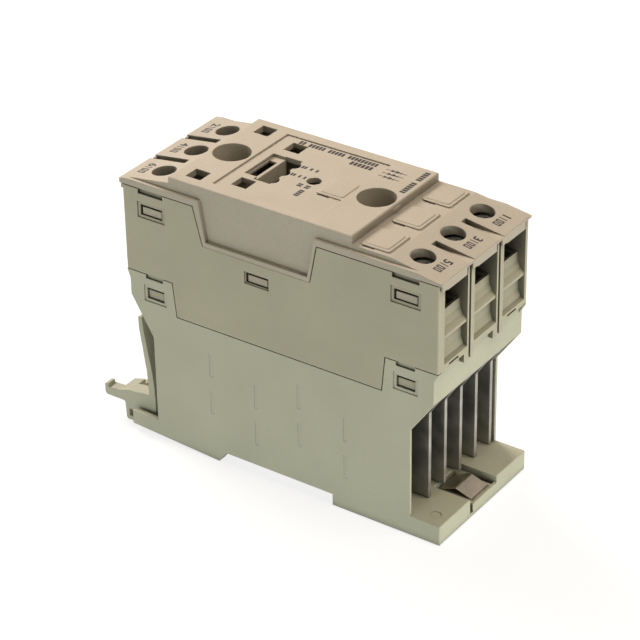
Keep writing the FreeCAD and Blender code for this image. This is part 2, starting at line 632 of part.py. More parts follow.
def make_front_cover():
    profile = side_view("cover_core", cover_profile(), across("half_width - inset"))
    core = rounded("cover_core_soft", profile, size("soft_edge"), cover_block_edge)
    strip = side_view("cover_strip", rim_profile(), across("half_width"))
    solid = fuse("cover_solid", [core, strip])
    cutters = [
        block("cover_hollow", across("block_half - roof"), across("half_width - cover_side"),
              ("under_skirt", "block_top - roof")),
        block("deck_hollow", ("block_half - roof - 1", "deck_end - 2"), across("half_width - cover_side"),
              ("under_skirt", "deck_top - roof")),
        block("label_recess", ("-recess_load", "recess_line"), across("recess_half"),
              ("block_top - recess_depth", "block_top + beyond")),
    ]
    for side, y in skins("inset"):
        cutters.append(side_view(f"skirt_pocket_{side}", skirt_pocket_points(), y))
    for side, label in SIDES.items():
        cutters.append(rod(f"well_{label}", mirrored(side, "well_x"), "0", ("under_skirt", "over_top"),
                            "well_bore"))
        for i, y in enumerate((-1, 1)):
            start = "line_tip - slot_start" if side == LINE else "load_tip - slot_start"
            tip = "line_tip + 1" if side == LINE else "load_tip + 1"
            low = "line_tip_top - slot_rise" if side == LINE else "rim"
            cutters.append(block(f"tongue_slot_{label}_{i}", span(side, start, tip),
                                 (f"{y} * pole_pitch / 2 - slot_half", f"{y} * pole_pitch / 2 + slot_half"),
                                 (low, "over_top")))
        for pole, row in POLES.items():
            cutters.append(rod(f"driver_hole_{label}_{pole}", screw_x(side), f"{row} * pole_pitch",
                               ("under_rim", "over_top"), "driver_hole"))
    for place in ("outer", "inner"):
        for i, side in enumerate((LOAD, LINE)):
            x, y = f"-{place}_square_x", mirrored(side, f"{place}_square_y")
            cutters.append(block(f"{place}_square_{i}", (f"{x} - square_half", f"{x} + square_half"),
                                 (f"{y} - square_half", f"{y} + square_half"),
                                 ("under_rim", "over_top")))
    cutters.append(rod("light_hole", "light_x", "light_y", ("under_rim", "over_top"), "light_bore"))
    cutters += socket_cutters()
    cutters += pad_slots()
    body = cut("cover_carved", solid, cutters)
    extras = well_tubes() + lips() + marker_pads() + cover_arms() + [socket_bar()]
    whole = fuse("cover_whole", [body, *extras])
    bores = [rod(f"well_clear_{label}", mirrored(side, "well_x"), "0", ("well_floor", "over_top"), "well_bore")
             for side, label in SIDES.items()]
    bores += [rod(f"well_screw_{label}", mirrored(side, "well_x"), "0", ("under_skirt", "over_top"),
                  "thread + 0.4")
              for side, label in SIDES.items()]
    return sub_part(cut("cover_bored", whole, bores), "front_cover")


def socket_cutters():
    """The control plug's socket: a stepped recess, a narrow slot and a wide slot with three lobes."""
    cutters = [
        block("socket_step", ("-14.55", "-10.4"), ("-7.3", "6.4"), ("key_top", "over_top")),
        block("socket_narrow", ("-14.15", "-key_low"), ("-6.2", "3.7"), ("under_skirt", "over_top")),
        block("socket_wide", ("-key_high", "-4.85"), ("-socket_near", "socket_far"),
              ("under_skirt", "over_top")),
    ]
    for i, y in enumerate(("-6.5", "-1.4", "3.7")):
        cutters.append(rod(f"socket_lobe_{i}", "-5.8", y, ("under_skirt", "over_top"), "4.2"))
    return cutters


def socket_bar():
    """The key rib that divides the socket's two slots."""
    return block("socket_key", ("-key_low", "-key_high"), ("-socket_near", "socket_far"),
                 ("block_top - 6", "key_top"))


def well_tubes():
    tubes = []
    for side, label in SIDES.items():
        tubes.append(rod(f"well_tube_{label}", mirrored(side, "well_x"), "0",
                         ("well_floor - 2", "block_top - 1"), "well_bore + 2.4"))
    return tubes


def lips():
    """The front lip of each tongue, which hangs over its wire mouth and the post on its near side."""
    shapes = []
    for side, label in SIDES.items():
        tip = "line_tip" if side == LINE else "load_tip"
        top = "line_tip_top" if side == LINE else "load_tip_top"
        for pole, row in POLES.items():
            points = [(tip, f"{top} - 0.4"), (tip, "lip_bottom + 0.4"),
                      (f"{tip} - 1.0", "lip_bottom"), (f"{tip} - 3.2", "rim + seam"),
                      (f"{tip} - 3.2", "rim + 0.6")]
            shapes.append(side_view(f"lip_{label}_{pole}",
                                    [(mirrored(side, x), z) for x, z in points],
                                    (f"{row} * pole_pitch - room_half + 0.2",
                                     f"{row} * pole_pitch + room_half - 0.2")))
            front = "housing_line_end" if side == LINE else "housing_load_end"
            shapes.append(block(f"lip_apron_{label}_{pole}", span(side, f"{front} + seam", tip),
                                (f"{row} * pole_pitch - apron_half", f"{row} * pole_pitch - room_half + 0.5"),
                                ("apron_bottom", f"{top} - 0.4")))
    return shapes


PAD_PLACES = (("36.7", "-pole_pitch", "deck_top + 0.05"), ("36.7", "0", "deck_top + 0.05"),
              ("36.7", "pole_pitch", "deck_top + 0.05"), ("13.0", "-1.2", "block_top - recess_depth"))


def marker_pads():
    """The raised pads that take clip-on markers, each a low step with a smaller step on it."""
    pads = []
    for i, (x, y, floor) in enumerate(PAD_PLACES):
        for step, inset, height in (("low", "0", "pad_step"), ("high", "pad_rim", "pad_height")):
            half_length, half_width = f"(pad_length / 2 - {inset})", f"(pad_width / 2 - {inset})"
            blank = block(f"pad_{step}_blank_{i}", (f"{x} - {half_length}", f"{x} + {half_length}"),
                          (f"{y} - {half_width}", f"{y} + {half_width}"),
                          (f"{floor} - 0.3", f"{floor} + {height}"))
            soft = rounded(f"pad_{step}_soft_{i}", blank, size("pad_corner"), upright)
            top = sheet_value(f"{floor} + {height}")
            pads.append(bevelled(f"pad_{step}_{i}", soft, size("pad_bevel"),
                                 lambda edge, top=top: edge.BoundBox.ZMin > top - TINY))
    return pads


def pad_slots():
    """The pry slot under the near edge of each pad."""
    slots = []
    for i, (x, y, floor) in enumerate(PAD_PLACES):
        near = f"{y} - pad_width / 2"
        slots.append(block(f"pry_slot_{i}", (f"{x} - pad_length / 2 + pad_corner", x),
                           (f"{near} - pry_slot", f"{near} + 0.3"), (f"{floor} - 0.5", f"{floor} + 0.2")))
    return slots


def cover_arms():
    """Snap arms that reach down inside the housing, with a nose in each snap window."""
    arms = []
    end_arm = ("cover_arm_half", "cover_arm_low", "cover_nose_top", "rim + 1.2")
    middle_arm = ("middle_arm_half", "middle_arm_low", "middle_nose_top", "skirt_bottom + 4")
    places = (("window_line", *end_arm), ("-window_load", *end_arm), ("-middle_window_x", *middle_arm))
    inner = "half_width - wall - arm_thickness"
    for i, (x, half, low, high, root) in enumerate(places):
        width = (f"{x} - {half}", f"{x} + {half}")
        for j, y in enumerate((-1, 1)):
            arms.append(block(f"arm_{i}_{j}", width, span(y, inner, "half_width - wall - 0.1"), (low, root)))
            arms.append(block(f"nose_{i}_{j}", width, span(y, "half_width - wall - 0.3", "half_width - 0.7"),
                              (low, high)))
            if i == 2:
                arms.append(block(f"arm_root_{j}", width, span(y, inner, "half_width - 1.3"),
                                  ("skirt_bottom + 0.6", root)))
    return arms


# ----------------------------------------------------------------------------------- screw clamps

def clamp_x(side):
    """The clamp's low and high X, around its screw."""
    x = screw_x(side)
    return f"{x} - box_length / 2", f"{x} + box_length / 2"


def make_clamp(side, pole):
    """The box, the pressure plate and the screw of one terminal, with the clamp screwed down."""
    name = f"{SIDES[side]}_{pole}"
    x, y = screw_x(side), f"{POLES[pole]} * pole_pitch"
    low, high = clamp_x(side)
    outer = block(f"box_outer_{name}", (low, high), (f"{y} - box_half", f"{y} + box_half"),
                  ("box_bottom", "box_top"))
    bore = block(f"box_bore_{name}", (f"{low} - 1", f"{high} + 1"),
                 (f"{y} - box_half + box_side", f"{y} + box_half - box_side"),
                 ("box_bottom + box_base", "box_top - box_nut"))
    nut = rod(f"box_nut_{name}", x, y, ("box_top - box_nut - 1", "box_top + 1"), "thread + 2 * thread_fit")
    sub_part(cut(f"clamp_box_cut_{name}", outer, [bore, nut]), f"{SIDES[side]}_clamp_box_{pole}")

    plate_low = "bar_level + bar_thickness + plate_gap"
    plate = block(f"plate_blank_{name}", (f"{x} - 3.2", f"{x} + 3.2"), (f"{y} - 3.1", f"{y} + 3.1"),
                  (plate_low, f"{plate_low} + 1.1"))
    sub_part(bevelled(f"plate_{name}", plate, 0.35, upright), f"{SIDES[side]}_pressure_plate_{pole}")

    head_top = "head_bottom + head_height"
    shank = rod(f"shank_{name}", x, y, (f"{plate_low} + 1.15", "head_bottom + 0.1"), "thread")
    head = rod(f"head_{name}", x, y, ("head_bottom", head_top), "head_diameter")
    driver = [block(f"drive_{i}_{name}", (f"{x} - {along}", f"{x} + {along}"),
                    (f"{y} - {over}", f"{y} + {over}"), (f"{head_top} - 1.3", f"{head_top} + 1"))
              for i, (along, over) in enumerate((("2.35", "0.4"), ("0.4", "2.35")))]
    screw = fuse(f"screw_blank_{name}", [shank, head])
    sub_part(cut(f"screw_{name}", screw, driver), f"{SIDES[side]}_screw_{pole}")


# ------------------------------------------------------------------------------------ power stage

def make_bar(side, pole):
    """A bent copper bar from a clamp down to its power module."""
    name = f"{SIDES[side]}_bar_{pole}"
    row = POLES[pole]
    outer = f"{screw_distance(side)} + box_length / 2 - 0.3"
    drop = f"{shelf_edge(side)} - bar_thickness - 0.3"
    foot = "plate_top + pad_film + module_height + 0.05"
    tip = "module_half - 5"
    y = (f"{row} * pole_pitch - bar_width / 2", f"{row} * pole_pitch + bar_width / 2")
    inner = tip if row else "well_x + post_radius + 3"
    top = "bar_level + bar_thickness"
    points = [(outer, top), (drop, top), (drop, f"{foot} + bar_thickness"),
              (inner, f"{foot} + bar_thickness"), (inner, foot),
              (f"{drop} + bar_thickness", foot), (f"{drop} + bar_thickness", "bar_level"),
              (outer, "bar_level")]
    bar = side_view(name + "_strap", [(mirrored(side, a), b) for a, b in points], y)
    if row:
        return sub_part(bar, name)
    half, pass_low, pass_high = "bar_width / 2", "post_radius + 1.0", "post_radius + 4.4"
    jog = [(f"{inner} + 2.5", minus(half)), (f"{inner} + 2.5", half), (f"{inner} - 1.5", pass_high),
           ("module_half - 1", pass_high), (tip, half), (tip, "0"),
           ("module_half - 1", "0"), ("module_half + 1.5", pass_low), (f"{inner} - 1.5", pass_low),
           (inner, minus(half))]
    jog = [(mirrored(side, a), b) for a, b in jog]
    detour = plan_view(name + "_jog", jog, (foot, f"{foot} + bar_thickness"))
    return sub_part(fuse(name + "_joined", [bar, detour]), name)


def make_modules():
    """One power module per pole on its thermal film, with the copper lands on top."""
    films = []
    for pole, row in POLES.items():
        y = f"{row} * module_pitch"
        film_top = "plate_top + pad_film"
        films.append(block(f"film_{pole}", across("module_half - 0.4"),
                           (f"{y} - module_width / 2 + 0.4", f"{y} + module_width / 2 - 0.4"),
                           ("plate_top", film_top)))
        blank = block(f"module_blank_{pole}", across("module_half"),
                      (f"{y} - module_width / 2", f"{y} + module_width / 2"),
                      (film_top, f"{film_top} + module_height"))
        sub_part(bevelled(f"module_{pole}", blank, 0.8, upright), f"power_module_{pole}")
    films_joined = doc.addObject("Part::Compound", "films")
    films_joined.Links = films
    sub_part(films_joined, "thermal_films")


# ----------------------------------------------------------------------------------- driver board

def make_board():
    board = block("board_blank", across("board_half_length"), across("board_half_width"),
                  ("board_level", "board_level + board_thickness"))
    through = ("board_level - beyond", "board_level + board_thickness + beyond")
    holes = [rod(f"board_hole_{label}", mirrored(side, "well_x"), "0", through, "2 * post_radius + 0.8")
             for side, label in SIDES.items()]
    corners = [block(f"board_corner_{i}_{j}", span(x, "board_half_length - 1.5", "board_half_length + beyond"),
                     span(y, "board_half_width - 2", "board_half_width + beyond"), through)
               for i, x in enumerate((LOAD, LINE)) for j, y in enumerate((LOAD, LINE))]
    middle = [block(f"board_notch_{i}", ("-middle_window_x - 3.95", "-middle_window_x + 3.95"),
                    span(y, "board_half_width - 1.4", "board_half_width + beyond"), through)
              for i, y in enumerate((LOAD, LINE))]
    sub_part(cut("board", board, [*holes, *corners, *middle]), "driver_board")

    top = "board_level + board_thickness"
    body = block("header_blank", ("-13.9", "-5.2"), ("-7.9", "5.6"), (top, "header_top"))
    inside, deep = ("-6.9", "4.6"), (f"{top} + 2", "header_top + beyond")
    pocket = block("header_pocket", ("-10.3", "-6.2"), inside, deep)
    lead_slot = block("header_slot", ("-13.1", "-11.6"), inside, deep)
    sub_part(cut("header", body, [pocket, lead_slot]), "control_header")
    pins = [block(f"pin_{i}", ("-8.6", "-7.8"), (f"{y} - 0.4", f"{y} + 0.4"), (f"{top} + 2", "pin_top"))
            for i, y in enumerate(("-4.5", "-1.15", "2.2"))]
    pin_row = doc.addObject("Part::Compound", "pin_row")
    pin_row.Links = pins
    sub_part(pin_row, "header_pins")

    led = fuse("led_joined", [rod("led_can", "light_x", "light_y", (top, f"{top} + 2.2"), "3"),
                              block("led_flange", ("light_x - 2", "light_x + 2"),
                                    ("light_y - 2", "light_y + 2"), (top, f"{top} + 0.8"))])
    sub_part(led, "status_led")
    stem = rod("light_stem", "light_x", "light_y", (f"{top} + 2.5", "block_top - light_depth"),
               "light_bore - 0.5")
    sub_part(rounded("light_guide", stem, 0.8, lambda e: e.BoundBox.ZMin > 80 and e.Closed), "light_pipe")

    for pole, row in POLES.items():
        y = f"{row} * varistor_pitch"
        disc = doc.addObject("Part::Cylinder", f"varistor_disc_{pole}")
        bind(disc, "Radius", "varistor_radius")
        bind(disc, "Height", "varistor_thickness")
        disc.Placement.Rotation = FreeCAD.Rotation(FreeCAD.Vector(1, 0, 0), -90)
        bind(disc, "Placement.Base.x", "varistor_x")
        bind(disc, "Placement.Base.y", f"{y} - varistor_thickness / 2")
        bind(disc, "Placement.Base.z", f"{top} + varistor_radius + 1.6")
        legs = [block(f"varistor_leg_{pole}_{i}", (f"varistor_x + {x} - 0.3", f"varistor_x + {x} + 0.3"),
                      (f"{y} - 0.3", f"{y} + 0.3"), (top, f"{top} + 3.5"))
                for i, x in enumerate(("-2.2", "2.2"))]
        sub_part(fuse(f"varistor_joined_{pole}", [disc, *legs]), f"varistor_{pole}")
    places = {1: ("-coupler_load_x", "varistor_pitch"), 2: ("coupler_line_x", "-varistor_pitch"),
              3: ("-coupler_load_x", "-varistor_pitch")}
    for pole, (x, y) in places.items():
        chip = block(f"coupler_blank_{pole}", (f"{x} - 3.15", f"{x} + 3.15"), (f"{y} - 3.3", f"{y} + 3.3"),
                     (top, f"{top} + 3.4"))
        sub_part(bevelled(f"coupler_{pole}", chip, 0.5, upright), f"opto_coupler_{pole}")
    cap = block("capacitor_blank", ("20.5", "27"), ("8.5", "14.5"), (top, f"{top} + 8"))
    sub_part(bevelled("capacitor", cap, 0.7, upright), "snubber_capacitor")


# ------------------------------------------------------------------- rail clip and stack fasteners

def clip_head_points(crown):
    """The side of the clip's head: crown is its top, from the leaf's root to its outer end."""
    return [("-40.6", "clip_plate_low"), *crown, ("-clip_leg", "5.6"), ("-clip_leg + 0.35", "0.4"),
            ("-clip_leg + 0.7", "0.05"), ("-47.2", "0.05"), ("-46.6", "clip_plate_low")]


def clip_head():
    """The head in steps: a handle ear at each side, a shoulder beside it, and a low middle."""
    shoulder = [("-40.6", "11.3"), ("-44.7", "11.0"), ("-50.7", "10.1"), ("-clip_shoulder", "9.0")]
    ear = [*shoulder, ("-58.2", "8.7"), ("-58.3", "9.7"), ("-half_length", "9.5"),
           ("-half_length", "6.8"), ("-58.9", "6.0"), ("-clip_leg - 0.4", "6.0")]
    step = [*shoulder, ("-clip_shoulder", "6.0"), ("-clip_leg - 0.4", "6.0")]
    middle = [("-40.6", "8.6"), ("-51.7", "8.3")]
    shapes = [side_view("clip_middle", clip_head_points(middle), across("clip_step_inner + 0.1"))]
    for i, y in enumerate((LOAD, LINE)):
        shapes.append(side_view(f"clip_step_{i}", clip_head_points(step),
                                span(y, "clip_step_inner", "clip_ear_inner + 0.1")))
        shapes.append(side_view(f"clip_ear_{i}", clip_head_points(ear),
                                span(y, "clip_ear_inner", "clip_half")))
    return shapes


def make_din_clip():
    """The sliding rail clip: nose, plate, head with its two handle ears, and leaf, in one moulding."""
    plate = side_view("clip_plate", [
        ("-clip_nose", "clip_plate_low + 0.5"), ("-clip_nose", "hook_top"),
        ("-lead_in_high", "hook_top"), ("-lead_in_high - 0.4", "clip_plate_top"),
        ("-41", "clip_plate_top"), ("-41", "clip_plate_low"), ("-clip_nose - 1", "clip_plate_low"),
    ], across("17.9"))
    rails = side_view("clip_rails", [
        ("-16.6", "clip_plate_low"), ("-16.6", "clip_plate_top"), ("-41", "clip_plate_top"),
        ("-41", "clip_plate_low"),
    ], across("clip_half"))
    leaf = side_view("clip_leaf", [
        ("-40.7", "8"), ("-40.7", "14.2"), ("-41.3", "19.4"), ("-43.6", "33.0"), ("-44.0", "37.3"),
        ("-45.3", "37.0"), ("-45.2", "33.4"), ("-43.2", "19.3"), ("-42.9", "15.0"), ("-42.9", "8"),
    ], across("clip_half"))
    body = fuse("clip_body", [plate, rails, *clip_head(), leaf])
    pockets = [block(f"clip_pocket_{i}_{j}", x, y, ("2.4", "11.3 + beyond"))
               for i, x in enumerate((("-50.2", "-46.6"), ("-45.4", "-43.4")))
               for j, y in enumerate((("-15", "-6.2"), ("-5", "5"), ("6.2", "15")))]
    notches = [block(f"clip_notch_{i}", ("-50.7", "-49.4"), span(y, "clip_half - 1.6", "clip_half + 1"),
                     ("1.4", "3.8")) for i, y in enumerate((LOAD, LINE))]
    split = block("leaf_gap", ("-46.4", "-40"), across("5.5"), ("16", "34.5"))
    return sub_part(cut("clip", body, [*pockets, *notches, split]), "din_clip")


def make_stack_screws():
    """The two long screws at the bottom of the wells, which hold the stack to the heat sink."""
    screws = []
    for side, label in SIDES.items():
        x = mirrored(side, "well_x")
        shank = rod(f"stack_shank_{label}", x, "0", ("plate_bottom + 0.5", "well_floor + 0.1"), "thread")
        head = rod(f"stack_head_{label}", x, "0", ("well_floor", "well_floor + 2.8"), "7.6")
        drive = [block(f"stack_drive_{label}_{i}", (f"{x} - {a}", f"{x} + {a}"), across(b),
                       ("well_floor + 1.2", "well_floor + 4"))
                 for i, (a, b) in enumerate((("2.6", "0.45"), ("0.45", "2.6")))]
        screws.append(cut(f"stack_screw_{label}", fuse(f"stack_blank_{label}", [shank, head]), drive))
    pair = doc.addObject("Part::Compound", "stack_screw_pair")
    pair.Links = screws
    return sub_part(pair, "stack_screws")


# ------------------------------------------------------------------------------------------ build

make_base_housing()
make_rail_spring()
make_heat_sink()
make_upper_housing()
make_front_cover()
for side in SIDES:
    for pole in POLES:
        make_clamp(side, pole)
        make_bar(side, pole)
make_modules()
make_board()
make_din_clip()
make_stack_screws()
doc.recompute()

failed = [thing.Name for thing in doc.Objects if {"Invalid", "Error"} & set(thing.State)]
bad = [thing.Label for thing in sub_parts if thing.Shape.isNull() or not thing.Shape.isValid()]
if failed or bad:
    raise RuntimeError(f"failed objects {failed}, bad shapes {bad}")
os.makedirs("parts", exist_ok=True)
for thing in sub_parts:
    thing.Shape.exportStep(f"parts/{thing.Label}.step")
    print(thing.Label, len(thing.Shape.Solids), round(thing.Shape.Volume, 1))
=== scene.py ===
"""Looks of a three-pole solid-state contactor: moulded shells, heat sink, clamps and print.

Lengths are in metres, and in millimetres where a name or a docstring says so. Colours are linear.
"""

import json
import math

import bmesh
import bpy
from mathutils import Matrix, Vector


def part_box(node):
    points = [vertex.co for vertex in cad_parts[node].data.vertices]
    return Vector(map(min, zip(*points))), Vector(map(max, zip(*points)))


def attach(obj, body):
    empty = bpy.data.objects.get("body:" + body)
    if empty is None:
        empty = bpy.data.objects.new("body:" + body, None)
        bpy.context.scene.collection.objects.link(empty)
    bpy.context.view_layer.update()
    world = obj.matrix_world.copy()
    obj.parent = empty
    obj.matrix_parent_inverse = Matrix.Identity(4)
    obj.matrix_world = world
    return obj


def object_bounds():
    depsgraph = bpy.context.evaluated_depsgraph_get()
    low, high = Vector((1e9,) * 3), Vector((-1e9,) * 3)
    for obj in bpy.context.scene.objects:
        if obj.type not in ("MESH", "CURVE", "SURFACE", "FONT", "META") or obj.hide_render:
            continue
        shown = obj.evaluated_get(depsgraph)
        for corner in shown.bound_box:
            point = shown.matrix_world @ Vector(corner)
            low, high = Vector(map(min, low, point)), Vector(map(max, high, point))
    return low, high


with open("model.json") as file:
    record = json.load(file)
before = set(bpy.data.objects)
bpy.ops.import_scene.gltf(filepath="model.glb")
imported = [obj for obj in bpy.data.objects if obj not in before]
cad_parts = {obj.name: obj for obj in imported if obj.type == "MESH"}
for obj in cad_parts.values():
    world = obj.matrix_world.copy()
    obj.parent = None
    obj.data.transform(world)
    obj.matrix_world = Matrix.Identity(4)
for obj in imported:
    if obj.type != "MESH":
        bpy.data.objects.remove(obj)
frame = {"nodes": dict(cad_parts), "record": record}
cad_low, cad_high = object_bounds()

MM = 0.001


# ------------------------------------------------------------------------------------- shader help

EDGE_SHARP, EDGE_FLAT = 0.55, 0.98  # the rounded normal's agreement with the true one
BEVEL_SAMPLES = 6
OPENNESS_SAMPLES = 4


class Shader:
    """A small wrapper round one material's node tree."""

    def __init__(self, name):
        self.material = bpy.data.materials.new(name)
        self.material.use_nodes = True
        self.tree = self.material.node_tree
        self.nodes = self.tree.nodes
        self.surface = self.nodes["Principled BSDF"]
        self.place = self.add("ShaderNodeTexCoord").outputs["Object"]

    def add(self, kind, **values):
        node = self.nodes.new(kind)
        for key, value in values.items():
            setattr(node, key, value)
        return node

    def link(self, source, target):
        self.tree.links.new(source, target)

    def set(self, **values):
        """Sets inputs of the surface, each named with _ for a space."""
        for key, value in values.items():
            self.surface.inputs[key.replace("_", " ")].default_value = value

    def stretched(self, stretch):
        mapping = self.add("ShaderNodeMapping")
        mapping.inputs["Scale"].default_value = stretch
        self.link(self.place, mapping.inputs["Vector"])
        return mapping.outputs["Vector"]

    def noise(self, size_mm, detail=3.0, rough=0.55, stretch=None):
        """Fractal noise whose largest features are size_mm across."""
        node = self.add("ShaderNodeTexNoise")
        node.inputs["Scale"].default_value = 1.0 / (size_mm * MM)
        node.inputs["Detail"].default_value = detail
        node.inputs["Roughness"].default_value = rough
        self.link(self.stretched(stretch) if stretch else self.place, node.inputs["Vector"])
        return node.outputs["Fac"]

    def ramp(self, source, low, high, start=0.0, end=1.0):
        """source remapped so that start to end of it gives low to high."""
        node = self.add("ShaderNodeMapRange")
        ends = {"From Min": start, "From Max": end, "To Min": low, "To Max": high}
        for key, value in ends.items():
            node.inputs[key].default_value = value
        self.link(source, node.inputs["Value"])
        return node.outputs["Result"]

    def fade(self, source, start=0.3, end=0.7):
        """0 until source reaches start, rising to 1 where it reaches end."""
        return self.ramp(source, 0.0, 1.0, start, end)

    def mix(self, factor, first, second):
        """A colour mix by an output; first and second are colours or outputs."""
        node = self.add("ShaderNodeMix", data_type="RGBA")
        self.link(factor, node.inputs["Factor"])
        for key, value in (("A", first), ("B", second)):
            socket = [s for s in node.inputs if s.name == key and s.type == "RGBA"][0]
            if isinstance(value, tuple):
                socket.default_value = (*value, 1.0)
            else:
                self.link(value, socket)
        return [s for s in node.outputs if s.type == "RGBA"][0]

    def maths(self, operation, first, second):
        """first and second, each a number or an output, put through one operation."""
        node = self.add("ShaderNodeMath", operation=operation)
        for i, value in enumerate((first, second)):
            if isinstance(value, float):
                node.inputs[i].default_value = value
            else:
                self.link(value, node.inputs[i])
        return node.outputs[0]

    def edges(self, radius_mm):
        """1 on the sharp edges within radius_mm and 0 on flat ground, with the rounded normal."""
        bevel = self.add("ShaderNodeBevel", samples=BEVEL_SAMPLES)
        bevel.inputs["Radius"].default_value = radius_mm * MM
        normal = self.add("ShaderNodeNewGeometry").outputs["Normal"]
        dot = self.add("ShaderNodeVectorMath", operation="DOT_PRODUCT")
        self.link(bevel.outputs[0], dot.inputs[0])
        self.link(normal, dot.inputs[1])
        return self.ramp(dot.outputs["Value"], 1.0, 0.0, EDGE_SHARP, EDGE_FLAT), bevel.outputs[0]

    def openness(self, reach_mm):
        """1 on open ground, falling to 0 deep in a recess that is narrower than reach_mm."""
        node = self.add("ShaderNodeAmbientOcclusion", samples=OPENNESS_SAMPLES)
        node.inputs["Distance"].default_value = reach_mm * MM
        return node.outputs["AO"]

    def bump(self, height, depth_mm, normal=None):
        node = self.add("ShaderNodeBump")
        node.inputs["Strength"].default_value = 1.0
        node.inputs["Distance"].default_value = depth_mm * MM
        self.link(height, node.inputs["Height"])
        if normal is not None:
            self.link(normal, node.inputs["Normal"])
        self.link(node.outputs["Normal"], self.surface.inputs["Normal"])

    def colour(self, source):
        self.link(source, self.surface.inputs["Base Color"])

    def rough(self, source):
        self.link(source, self.surface.inputs["Roughness"])


def shade(colour, factor):
    """A colour made darker or lighter, up to full white."""
    return tuple(min(1.0, c * factor) for c in colour)


# --------------------------------------------------------------------------------------- materials

MOULDED_EDGE_MM = 0.35
MOULDED_GRAIN_MM = 0.022
MOULDED_PAINTED_SHADE = 0.16  # the tone of the painted shade at the bottom of a deep recess, as a share of the colour
METAL_EDGE_MM = 0.18
METAL_LINE_MM = 0.25
METAL_LINE_DEPTH_MM = 0.012
# the tone of the painted shade at the bottom of a deep recess, as a share of the colour
METAL_PAINTED_SHADE = 0.35
ISOTROPIC = (1, 1, 1)
GREY_GREEN = (0.545, 0.556, 0.418)


def moulded(name, colour, reach_mm=9.0, recess=(0.18, 0.72)):
    """Spark-eroded thermoplastic: fine grain, slow colour drift, paler edges that are part wear and
    part painted highlight, and painted shade in recesses.

    A place with less than recess[0] of its surroundings open, within reach_mm, is all painted
    shade, and one with more than recess[1] has none.
    """
    s = Shader(name)
    drift_dark, drift_pale = shade(colour, 0.94), shade(colour, 1.05)
    speck, worn_and_highlit, painted_shade = shade(colour, 0.80), shade(colour, 1.28), shade(colour, MOULDED_PAINTED_SHADE)
    edge, rounded = s.edges(MOULDED_EDGE_MM)
    drift = s.noise(26.0, detail=2.0)
    speckle = s.noise(0.5, detail=2.0, rough=0.7)
    base = s.mix(s.fade(drift), drift_dark, drift_pale)
    base = s.mix(s.ramp(speckle, 0.0, 0.5, 0.45, 0.75), base, speck)
    # paler edges: part wear, part painted highlight along the edges
    base = s.mix(s.maths("MULTIPLY", edge, 0.5), base, worn_and_highlit)
    # painted shade: the colour falls to the dark tone where little of the surroundings is open
    s.colour(s.mix(s.fade(s.openness(reach_mm), *recess), painted_shade, base))
    s.rough(s.ramp(s.noise(3.0, detail=4.0), 0.46, 0.66, 0.3, 0.7))
    s.set(Specular_IOR_Level=0.42)
    fine, coarse = s.noise(0.32, rough=0.6), s.noise(1.6, detail=2.0)
    s.bump(s.maths("ADD", fine, s.maths("MULTIPLY", coarse, 0.6)), MOULDED_GRAIN_MM, rounded)
    return s.material


def metal(name, colour, roughness, stretch=ISOTROPIC, stain=0.75, reach_mm=0.0):
    """A drawn or plated metal with fine lines along its grain, slight tarnish and paler edges, part
    wear and part painted highlight.

    With a reach_mm, it also has painted shade in recesses narrower than that.
    """
    s = Shader(name)
    tarnished, worn_and_highlit, painted_shade = shade(colour, stain), shade(colour, 1.25), shade(colour, METAL_PAINTED_SHADE)
    edge, rounded = s.edges(METAL_EDGE_MM)
    lines = s.noise(METAL_LINE_MM, rough=0.6, stretch=stretch)
    tarnish = s.noise(5.0)
    base = s.mix(s.fade(tarnish, 0.35, 0.7), tarnished, colour)
    # paler edges: part wear, part painted highlight along the edges
    base = s.mix(s.maths("MULTIPLY", edge, 0.6), base, worn_and_highlit)
    if reach_mm:
        # painted shade in recesses narrower than reach_mm
        base = s.mix(s.fade(s.openness(reach_mm), 0.2, 0.8), painted_shade, base)
    s.colour(base)
    s.set(Metallic=1.0)
    s.rough(s.ramp(s.maths("ADD", lines, tarnish), roughness - 0.08, roughness + 0.16, 0.6, 1.4))
    s.bump(lines, METAL_LINE_DEPTH_MM, rounded)
    return s.material


def coated(name, colour, roughness, grain_mm=0.4, depth_mm=0.01, coat=0.0):
    """A smooth moulded, dipped or printed surface with light mottling."""
    s = Shader(name)
    mottle = s.noise(2.2)
    s.colour(s.mix(s.fade(mottle), shade(colour, 0.82), shade(colour, 1.12)))
    s.rough(s.ramp(mottle, roughness - 0.06, roughness + 0.1, 0.3, 0.7))
    s.set(Coat_Weight=coat)
    s.bump(s.noise(grain_mm, detail=2.0), depth_mm)
    return s.material


def board_laminate():
    """Solder mask over copper tracks, in a fine rectangular layout."""
    s = Shader("board_laminate")
    mask_dark, mask_pale = (0.012, 0.085, 0.040), (0.020, 0.125, 0.055)
    track = (0.045, 0.20, 0.085)
    tracks = s.add("ShaderNodeTexBrick")
    tracks.inputs["Scale"].default_value = 260.0
    tracks.inputs["Mortar Size"].default_value = 0.06
    s.link(s.place, tracks.inputs["Vector"])
    weave = s.noise(0.3, detail=2.0)
    mask = s.mix(s.fade(weave, 0.35, 0.7), mask_dark, mask_pale)
    s.colour(s.mix(s.ramp(tracks.outputs["Fac"], 0.0, 0.8), mask, track))
    s.rough(s.ramp(weave, 0.28, 0.42, 0.3, 0.7))
    s.bump(tracks.outputs["Fac"], 0.03)
    return s.material


def clear_guide(name, colour):
    """A clear moulded light guide or lens, faintly frosted."""
    s = Shader(name)
    frost = s.noise(0.6)
    s.colour(s.mix(s.fade(frost), colour, shade(colour, 1.15)))
    s.rough(s.ramp(frost, 0.12, 0.3, 0.3, 0.7))
    s.set(Transmission_Weight=0.35, IOR=1.49)
    s.bump(frost, 0.01)
    return s.material


